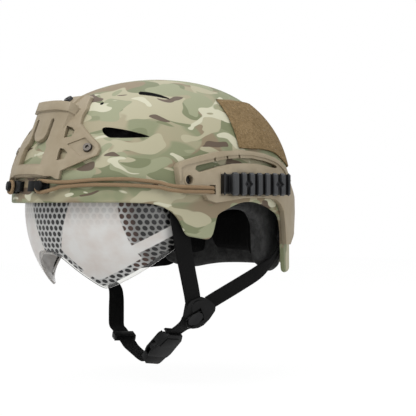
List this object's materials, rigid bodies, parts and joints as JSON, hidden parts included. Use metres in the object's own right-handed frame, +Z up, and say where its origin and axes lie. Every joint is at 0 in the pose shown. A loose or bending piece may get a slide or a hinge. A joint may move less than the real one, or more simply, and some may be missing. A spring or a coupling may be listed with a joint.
{
  "type": "airsoft helmet",
  "caption": "Open high-cut style helmet with a clear pull-down visor, front mount shroud, side rails with ribbed adapters, padded liner and a buckled chin strap.",
  "frame": {"origin": "on the wearer's centre line at the height of the shell's brim, in the middle of the shell's plan, where the head sits", "axes": "+Z up, -Y the way the wearer faces, +X the wearer's left"},
  "size_m": [0.249, 0.2866, 0.2704],
  "materials": {
    "camo": "matte camouflage print",
    "tan_polymer": "fine matte",
    "black_polymer": "fine matte",
    "slate_polymer": "satin",
    "steel": "plated",
    "black_steel": "black finish",
    "loop": "loop pile",
    "lens": "clear sheet with printed dots",
    "velour": "charcoal velour over foam",
    "pad": "black mesh over foam",
    "webbing": "woven",
    "elastic": "braided cover"
  },
  "bodies": {
    "helmet": {"shell": "camo", "front_shroud": "tan_polymer", "shroud_screw_left": "steel", "shroud_screw_right": "steel", "shroud_top_screw": "black_steel", "lanyard_hook_left": "black_polymer", "lanyard_hook_right": "black_polymer", "bungee_left": "elastic", "bungee_right": "elastic", "side_rail_left": "tan_polymer", "side_rail_right": "tan_polymer", "rail_adapter_left": "slate_polymer", "rail_adapter_right": "slate_polymer", "adapter_screws_left": "black_steel", "adapter_screws_right": "black_steel", "rear_loop_patch": "loop", "visor_pivot_left": "black_polymer", "visor_pivot_right": "black_polymer", "visor_screw_left": "steel", "visor_screw_right": "steel", "liner": "velour", "crown_pad": "pad", "front_pad": "pad", "rear_pad": "pad", "side_pad_left": "pad", "side_pad_right": "pad", "nape_pad_left": "pad", "nape_pad_right": "pad", "front_strap_left": "webbing", "front_strap_right": "webbing", "rear_strap_left": "webbing", "rear_strap_right": "webbing", "strap_bolts_left": "steel", "strap_bolts_right": "steel", "strap_divider_left": "black_polymer", "strap_divider_right": "black_polymer", "buckle_strap": "webbing", "buckle_female": "black_polymer", "chin_strap": "webbing"},
    "visor": {"visor_lens": "lens"},
    "lever_left": {"divider_lever_left": "slate_polymer"},
    "lever_right": {"divider_lever_right": "slate_polymer"},
    "tongue": {"buckle_male": "black_polymer"},
    "keeper": {"chin_slider": "black_polymer"}
  },
  "joints": [
    {"name": "visor_hinge", "type": "hinge", "parent": "helmet", "child": "visor", "pos_m": [0, -0.016, -0.006], "axis": [-1, 0, 0], "range_deg": [0, 36]},
    {"name": "lever_left_hinge", "type": "hinge", "parent": "helmet", "child": "lever_left", "pos_m": [0.0896, -0.01738, -0.10429], "axis": [0, -0.9135, -0.4067], "range_deg": [0, 50]},
    {"name": "lever_right_hinge", "type": "hinge", "parent": "helmet", "child": "lever_right", "pos_m": [-0.0896, 0.00162, -0.07229], "axis": [0, 0.9135, 0.4067], "range_deg": [0, 50]},
    {"name": "buckle_slide", "type": "slide", "parent": "helmet", "child": "tongue", "axis": [-0.7005, -0.1801, -0.6905], "range_m": [0, 0.018], "deforming": ["chin_strap"]},
    {"name": "keeper_slide", "type": "slide", "parent": "helmet", "child": "keeper", "axis": [-0.9036, 0.2423, 0.3532], "range_m": [-0.006, 0.006]}
  ]
}
